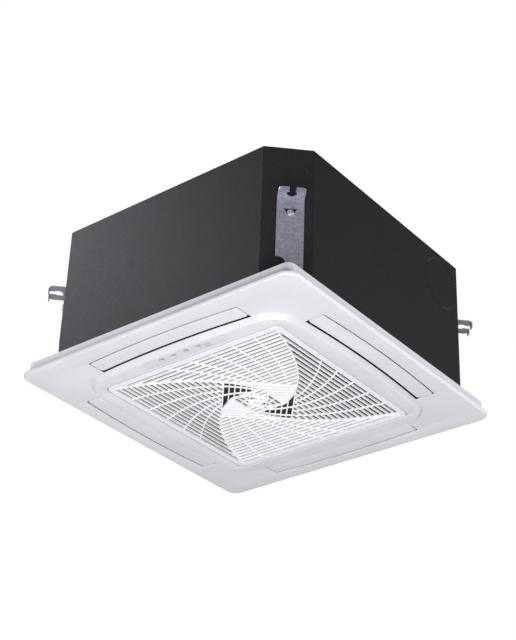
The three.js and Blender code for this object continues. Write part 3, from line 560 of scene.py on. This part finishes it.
def locating_dots():
    """One to four small raised dots between each slot and the lip number the vanes."""
    forms = []
    for quarter in range(4):
        for i in range(quarter + 1):
            x = (i - quarter / 2) * DOT_PITCH
            dome = turned([(0.05, -0.35), (0.7, -0.3), (1.1, 0.0), (1.2, 0.3)], 16)
            dot = moved(dome, Matrix.Translation((x, -DOT_Y, FRAME_Z)))
            forms.append(quarter_turned(dot, quarter))
    return merge(*forms)


panel_form = merge(flange(), panel_walls(), island_form(), hinge_ears(), locating_dots())
panel = make("panel_moulding", panel_form, WHITE_ABS, smooth=24, replaces=["panel_frame"])
# The ducts' black walls are painted shade seen through the slot gaps.
make("discharge_ducts_painted_shade", ducts(), FLAT_BLACK_AND_SHADE, smooth=32, replaces=["panel_frame"])
print("panel:", len(panel.data.polygons), "faces")

# %% [markdown]
# ## Display strip
# The acrylic strip is a carried-over piece. Here are its four indicators and the plain marks beside them.

# %%
def rounded_bar(x, y, size, z0, z1):
    """A flat bar round the point (x, y), of size (width, height, corner radius)."""
    width, height, radius = size
    outline = []
    for quarter, (sx, sy) in enumerate([(1, -1), (1, 1), (-1, 1), (-1, -1)]):
        for i in range(5):
            a = -math.pi / 2 + (quarter + i / 4) * math.pi / 2
            cx, cy = x + sx * (width / 2 - radius), y + sy * (height / 2 - radius)
            outline.append((cx + radius * math.cos(a), cy + radius * math.sin(a)))
    return loft([lift(outline, z0), lift(outline, z1)], caps=True)


LED_X, LED_Y, MARK_Y = (-40, -13, 16, 43), -215, -223
LENS, LONG_MARK, SHORT_MARK = (6.4, 2.6, 1.2), (11.5, 1.7, 0.6), (6.0, 1.2, 0.5)
LENS_Z, MARK_Z, STRIP_Z = 0.05, 0.08, 0.3
for i, x in enumerate(LED_X):
    lens = rounded_bar(x + 1, LED_Y, LENS, LENS_Z, STRIP_Z)
    make(f"indicator_lens_{i + 1}", lens, LED_LENS, smooth=60)
    long_mark = rounded_bar(x, MARK_Y, LONG_MARK, MARK_Z, STRIP_Z)
    short_mark = rounded_bar(x + 2, MARK_Y + 2.8, SHORT_MARK, MARK_Z, STRIP_Z)
    make(f"indicator_mark_{i + 1}", merge(long_mark, short_mark), PRINT_GREY, smooth=60)
print("indicators:", len(LED_X))

# %% [markdown]
# ## Air vanes
# A slim bowed blade whose inner edge rolls up furthest, a stiffening rib, and an arm and pin at each end.

# %%
def vane_form():
    """The front vane; its section holds (growth, roll of the inner edge, height) from the face up."""
    section = [(-1.2, 7.0, 0.0), (-0.5, 4.4, 0.14), (-0.12, 2.4, 0.5), (0.0, 1.1, 1.1),
               (-0.1, 0.1, 2.0), (-0.7, 0.0, 2.6)]
    outlines = [offset(slot_outline(0, inner=3.7 + roll, radius=3.4, inner_radius=7.0, outer=1.0), d)
                for d, roll, _ in section]
    blade = loft([lift(o, FRAME_Z + z) for o, (_, _, z) in zip(outlines, section)], caps=True)
    end, low = SLOT_LENGTH - 6, VANE_TOP - 1
    stiffener = block((-end, -VANE_AXIS - 9, low), (end, -VANE_AXIS - 7.4, VANE_AXIS_Z))
    forms = [blade, stiffener]
    for side in (-1, 1):
        x = side * (SLOT_LENGTH - 3)
        forms.append(block((x - 1.5, -VANE_AXIS - 4, low), (x + 1.5, -VANE_AXIS + 4, VANE_AXIS_Z + 3)))
        pin = lying(turned([(1.5, 0), (2, 0.5), (2, 6.5), (1.5, 7)], 20), side)
        forms.append(moved(pin, Matrix.Translation((x, -VANE_AXIS, VANE_AXIS_Z))))
    return merge(*forms)


vane = vane_form()
for quarter, side in enumerate(("front", "right", "back", "left")):
    make(f"air_vane_{side}", quarter_turned(vane, quarter), WHITE_ABS, f"vane_{side}", smooth=35,
         replaces=[f"vane_{side}"])
print("vane faces:", len(vane[1]))

# %% [markdown]
# ## Intake grille
# Squares nested in squares, each turned inside the one before. Four arms whirl through their corners, the
# slats of a sector run parallel to its square's side, and thin ribs follow the whirl between the arms.
# An angle phi runs along an arm from the field's corner, and LEVELS holds the angles of the squares.

# %%
FIELD_RADIUS = FIELD_HALF * math.sqrt(2)
STEADY = math.pi / 2
LEVELS = (0.0, 0.721, STEADY, 0.75 * math.pi, math.pi)
RIB_ENDS = {0.345: LEVELS[1], 0.475: LEVELS[1], 0.606: LEVELS[3], 0.737: LEVELS[1], 0.869: LEVELS[2]}
WHIRL_FALL, WHIRL_EASE, SPIRAL_FALL = 1.727, 0.412, 0.9


def whirl_radius(phi):
    """An arm's distance from the middle: it falls fast at first, and evenly from STEADY on."""
    if phi <= STEADY:
        return FIELD_RADIUS * math.exp(-(WHIRL_FALL * phi - WHIRL_EASE * phi * phi))
    return whirl_radius(STEADY) * math.exp(-SPIRAL_FALL * (phi - STEADY))


def arm_point(corner, phi):
    angle = -0.75 * math.pi + corner * math.pi / 2 + phi
    return Vector((math.cos(angle), math.sin(angle))) * whirl_radius(phi)


def rib_point(corner, share, phi):
    """A point at a share of the way from one arm to the next."""
    return arm_point(corner, phi).lerp(arm_point(corner + 1, phi), share)


def bar_section(low, high, depth, r):
    """A bar seen end on, as (sideways, height), from its back round two softened lower corners."""
    return [(low, depth), (low, r), (low + r * 0.3, r * 0.3), (low + r, 0), (high - r, 0),
            (high - r * 0.3, r * 0.3), (high, r), (high, depth)]


def sweep(points, width, depth, rounding, sunk=0.0):
    """A bar along points, standing on edge; sunk sets it back from the grille's face."""
    section = bar_section(-width / 2, width / 2, depth, rounding)
    rings = []
    for i, p in enumerate(points):
        along = (points[min(i + 1, len(points) - 1)] - points[max(i - 1, 0)]).normalized()
        across = Vector((-along.y, along.x))
        rings.append([(*(p + across * s), GRILLE_Z + sunk + z) for s, z in section])
    return loft(rings, caps=True)


def arm(corner, steps=64, end=1.3 * math.pi):
    points = [arm_point(corner, end * i / steps) for i in range(steps + 1)]
    return sweep(points, ARM_WIDTH, SLAT_DEPTH, ARM_ROUND)


def rib(corner, share, end, steps=30):
    points = [rib_point(corner, share, end * i / steps) for i in range(steps + 1)]
    return sweep(points, RIB_WIDTH, SLAT_DEPTH - 2 * RIB_SUNK, RIB_ROUND, RIB_SUNK)


def crossing(chain, d):
    """Where a chain of (x, distance) points crosses distance d."""
    for (x0, d0), (x1, d1) in zip(chain, chain[1:]):
        if min(d0, d1) <= d <= max(d0, d1) and d0 != d1:
            return x0 + (x1 - x0) * (d - d0) / (d1 - d0)
    return None


def slats(corner, level, steps=24):
    """The slats of one sector at one level, each from the arm on its left to the one on its right."""
    start, end = LEVELS[level], LEVELS[level + 1]
    side = arm_point(corner + 1, start) - arm_point(corner, start)
    turn = Matrix.Rotation(-math.atan2(side.y, side.x), 2)
    back = turn.transposed()
    phis = [start + (end - start) * i / steps for i in range(steps + 1)]

    def chain(c):
        """An arm as (x, distance) in the sector's own frame, where slats lie along x."""
        return [(p.x, -p.y) for p in (turn @ arm_point(c, phi) for phi in phis)]

    right = chain(corner + 1)
    left = chain(corner) + [right[-1]]
    section = bar_section(0, SLAT_WIDTH, SLAT_DEPTH, SLAT_ROUND)
    forms = []
    hair = 0.01  # past the corner where both arms start, so that the first slat crosses them
    d = left[0][1] - (hair if level else FIRST_SLAT)
    while d - SLAT_WIDTH > right[-1][1]:
        ends = []
        for edge in (left, right):
            ring = []
            for s, z in section:
                x = crossing(edge, d - s)
                if x is None:
                    break
                p = back @ Vector((x, -(d - s)))
                ring.append((p.x, p.y, GRILLE_Z + z))
            ends.append(ring)
        if all(len(ring) == len(section) for ring in ends):
            forms.append(loft(ends, caps=True))
        d -= SLAT_PITCH
    return forms


def border():
    """The grille's flat frame: softened outer edge, upstand behind it, and a groove round the field."""
    outer = [(6.7, 0.0), (1.4, 0.0), (0.5, 0.2), (0.1, 0.6), (0.0, 1.2), (0.0, 3.0), (1.5, 3.0),
             (1.5, 11.4), (3.5, 11.4), (3.5, 3.0)]
    inner = [(1.6, 3.0), (1.6, SLAT_DEPTH), (0.0, SLAT_DEPTH), (0.0, 0.6), (0.3, 0.15), (0.9, 0.0),
             (2.6, 0.0), (3.2, 0.2), (3.5, 0.6), (4.5, 0.6), (4.9, 0.1)]
    rings = [square(GRILLE_HALF - inset, GRILLE_CORNER - inset) for inset, _ in outer]
    rings += [square(FIELD_HALF + step, FIELD_CORNER) for step, _ in inner]
    heights = [z for _, z in outer + inner]
    return loft([lift(o, GRILLE_Z + z) for o, z in zip(rings, heights)], closed=True)


def knuckles():
    """The grille's two hinge barrels."""
    length = 10
    barrel = lying(turned([(1.8, 0), (3, 0), (3, length), (1.8, length)], 20))
    places = [(side * KNUCKLE_X - length / 2, HINGE_Y, HINGE_Z) for side in (-1, 1)]
    return merge(*[moved(barrel, Matrix.Translation(place)) for place in places])


def hub():
    """The small boss that the arms meet in."""
    return turned([(0.1, 0.7), (3.0, 0.7), (4.2, 1.2), (4.6, 2.2), (4.6, SLAT_DEPTH + 1)], 24)


make("grille_border", merge(border(), knuckles()), GRILLE_ABS, "grille", smooth=35,
     replaces=["intake_grille"])
grille_forms = [hub()]
for corner in range(4):
    grille_forms.append(arm(corner))
    grille_forms += [rib(corner, share, end) for share, end in RIB_ENDS.items()]
    for level in range(len(LEVELS) - 1):
        grille_forms += slats(corner, level)
# The slats take the brighter white, painted light.
grille = make("whirl_grille", merge(*grille_forms), LIT_SLAT_ABS, "grille", smooth=35,
              replaces=["intake_grille"])
print("grille:", len(grille_forms), "bars,", len(grille.data.polygons), "faces")

# %% [markdown]
# ## Cabinet fittings
# The brackets' clamp screws, and the knock-out's dark rivets, its lips with a painted highlight and its
# painted shadow.

# %%
def pan_screw(radius=6.0, height=3.4, depth=1.6):
    """A pan head with a cross recess, lying along +Z with its face up."""
    reach, half = radius * 0.5, radius * 0.13
    quarter = [(half, reach), (half, half), (reach, half)]
    turns = ((1, 0), (0, -1), (-1, 0), (0, 1))
    cross = [(x * c - y * s, x * s + y * c) for c, s in turns for x, y in quarter]
    domed = [(0.05, 0.0), (radius, 0.0), (radius, height * 0.35), (radius * 0.9, height * 0.75),
             (radius * 0.66, height)]
    rings = [[(r * math.cos(a), r * math.sin(a), z) for a in angles(32)] for r, z in domed]
    rim = [(x, y) for x, y, _ in rings[-1]]
    bottom = height - depth
    return merge(loft(rings), flat([rim, cross], height), loft([lift(cross, height), lift(cross, bottom)]),
                 flat([cross], bottom))


def facing(form, point, normal):
    """The form set at point, with its +Z towards normal."""
    turn = Vector((0, 0, 1)).rotation_difference(Vector(normal)).to_matrix()
    return moved(moved(form, turn), Matrix.Translation(point))


def bracket_screws():
    """One screw on each bracket's strap; straps sit to the left and right of a corner's middle in turn."""
    forms = []
    for quarter in range(4):
        turn = Matrix.Rotation(-math.pi / 4 + quarter * math.pi / 2, 3, "Z")
        along = BRACKET_SHIFT if quarter % 2 else -BRACKET_SHIFT
        screw = facing(pan_screw(), (along, -CORNER_FACE - STRAP_FACE, SCREW_Z), (0, -1, 0))
        forms.append(moved(screw, turn))
    return merge(*forms)


def knock_out_rivets():
    """Four blind rivets on a square round the knock-out."""
    head = turned([(0.05, 0.0), (2.3, 0.0), (2.1, 0.25), (1.2, 0.45), (0.05, 0.5)], 20)
    x, y, z = KNOCK_OUT
    steps = (-RIVET_REACH, RIVET_REACH)
    return merge(*[facing(head, (x, y + a, z + b), (1, 0, 0)) for a in steps for b in steps])


def knock_out_arc(low, high, section, steps=24):
    """A ring piece round the knock-out between two angles; its section is (radius, height)."""
    x, y, z = KNOCK_OUT
    rings = []
    for i in range(steps + 1):
        a = math.radians(low + (high - low) * i / steps)
        rings.append([(x + h, y + r * math.cos(a), z + r * math.sin(a)) for r, h in section])
    return loft(rings, caps=True)


def knock_out_lips():
    """The two pulled lips of the knock-out, at its upper front and lower back."""
    section = [(48.9, -0.4), (48.9, 0.3), (49.6, 0.6), (51.6, 0.6), (52.3, 0.3), (52.3, -0.4)]
    span = 60
    return merge(*[knock_out_arc(start, start + span, section) for start in (92, -88)])


def knock_out_shadow():
    """A black ring that lies behind the knock-out's gap and keeps the white foam from showing."""
    section = [(48.8, -0.8), (48.8, -0.5), (51.2, -0.5), (51.2, -0.8)]
    return knock_out_arc(0, 360, section, steps=96)


make("bracket_screws", bracket_screws(), SCREW_ZINC, smooth=30)
make("knock_out_rivets", knock_out_rivets(), FLAT_BLACK_AND_SHADE, smooth=30)
# The lips take the lighter charcoal as a painted highlight.
make("knock_out_lips", knock_out_lips(), LIT_CHARCOAL, smooth=30)
make("knock_out_shadow_ring", knock_out_shadow(), FLAT_BLACK_AND_SHADE, smooth=30)
print("fittings made")

# %% [markdown]
# ## Stage, light and camera
# A pale floor lies far below the unit, and the world shows plain white behind it. Three lights shape the
# unit, and two more on its left side add sheen alone.

# %%
def pale_floor():
    mesh = bpy.data.meshes.new("floor")
    half, z = 5.6, -3.2
    corners = [(-half, -half, z), (half, -half, z), (half, half, z), (-half, half, z)]
    mesh.from_pydata(corners, [], [(0, 1, 2, 3)])
    floor = bpy.data.objects.new("floor", mesh)
    bpy.context.scene.collection.objects.link(floor)
    material, tree, place = start_material("pale_floor")
    colour = ramp(tree, noise(tree, place, 900), "ecebe9", "f1f0ee")
    close_material(tree, colour, ramp(tree, noise(tree, place, 300), 0.7, 0.8), noise(tree, place, 4), 0.01)
    mesh.materials.append(material)


def studio_world(strength, seen):
    """White all round, which lights the unit by strength and is seen by the camera at seen."""
    world = bpy.data.worlds.new("studio")
    bpy.context.scene.world = world
    world.use_nodes = True
    tree = world.node_tree
    tree.nodes.clear()
    path = add_node(tree, "ShaderNodeLightPath")
    ambient = add_node(tree, "ShaderNodeBackground", Strength=strength, Color=(1, 1, 1, 1))
    backdrop = add_node(tree, "ShaderNodeBackground", Strength=seen, Color=(1, 1, 1, 1))
    sockets = {0: path.outputs["Is Camera Ray"], 1: ambient.outputs[0], 2: backdrop.outputs[0]}
    mixed = add_node(tree, "ShaderNodeMixShader", sockets)
    add_node(tree, "ShaderNodeOutputWorld", {"Surface": mixed.outputs[0]})


COOL_SHEEN = (0.95, 0.93, 1.0)


def area_light(name, place, target, size, power, sheen_only=False):
    """A round light that faces target; one that is sheen_only shows in reflections alone."""
    data = bpy.data.lights.new(name, "AREA")
    data.shape = "DISK"
    data.size = size
    data.energy = power
    data.color = COOL_SHEEN if sheen_only else (1.0, 1.0, 1.0)
    light = bpy.data.objects.new(name, data)
    light.location = place
    light.rotation_mode = "QUATERNION"
    light.rotation_quaternion = (Vector(target) - Vector(place)).to_track_quat("-Z", "Y")
    light.visible_diffuse = not sheen_only
    bpy.context.scene.collection.objects.link(light)


CAMERA_PLACE = (1.58227, -1.93844, -1.32058)
CAMERA_RIGHT = (0.78512163, 0.61845833, 0.03306551)
CAMERA_UP = (0.29548731, -0.42096674, 0.85759796)
CAMERA_BACK = (0.54430808, -0.66354826, -0.51325668)
FOCAL_PIXELS, IMAGE_HEIGHT, SENSOR = 1542.6, 640, 36.0


def photo_camera():
    """The camera fitted to the photograph's straight edges."""
    data = bpy.data.cameras.new("camera")
    data.sensor_width = SENSOR
    data.lens = FOCAL_PIXELS * SENSOR / IMAGE_HEIGHT
    camera = bpy.data.objects.new("camera", data)
    bpy.context.scene.collection.objects.link(camera)
    axes = Matrix((CAMERA_RIGHT, CAMERA_UP, CAMERA_BACK)).transposed()
    camera.matrix_world = Matrix.Translation(CAMERA_PLACE) @ axes.to_4x4()
    bpy.context.scene.camera = camera


pale_floor()
studio_world(strength=0.355, seen=1.0)
middle, cabinet_front = (0, 0, 0.1), (0, -0.2, 0.15)
area_light("upper_left_softbox", (-2.2, -0.8, 1.9), cabinet_front, size=1.2, power=75, sheen_only=True)
area_light("left_softbox", (-1.1, -1.6, 0.7), cabinet_front, size=1.2, power=9, sheen_only=True)
area_light("under_softbox", (0.4, -1.6, -2.1), middle, size=1.8, power=61)
area_light("near_camera_softbox", (1.9, -0.9, -1.7), middle, size=1.4, power=20)
area_light("right_strip", (2.4, 1.2, 0.4), middle, size=1.2, power=38)
photo_camera()
bpy.context.scene.view_settings.view_transform = "Standard"
print("camera lens:", round(bpy.context.scene.camera.data.lens, 2), "mm")
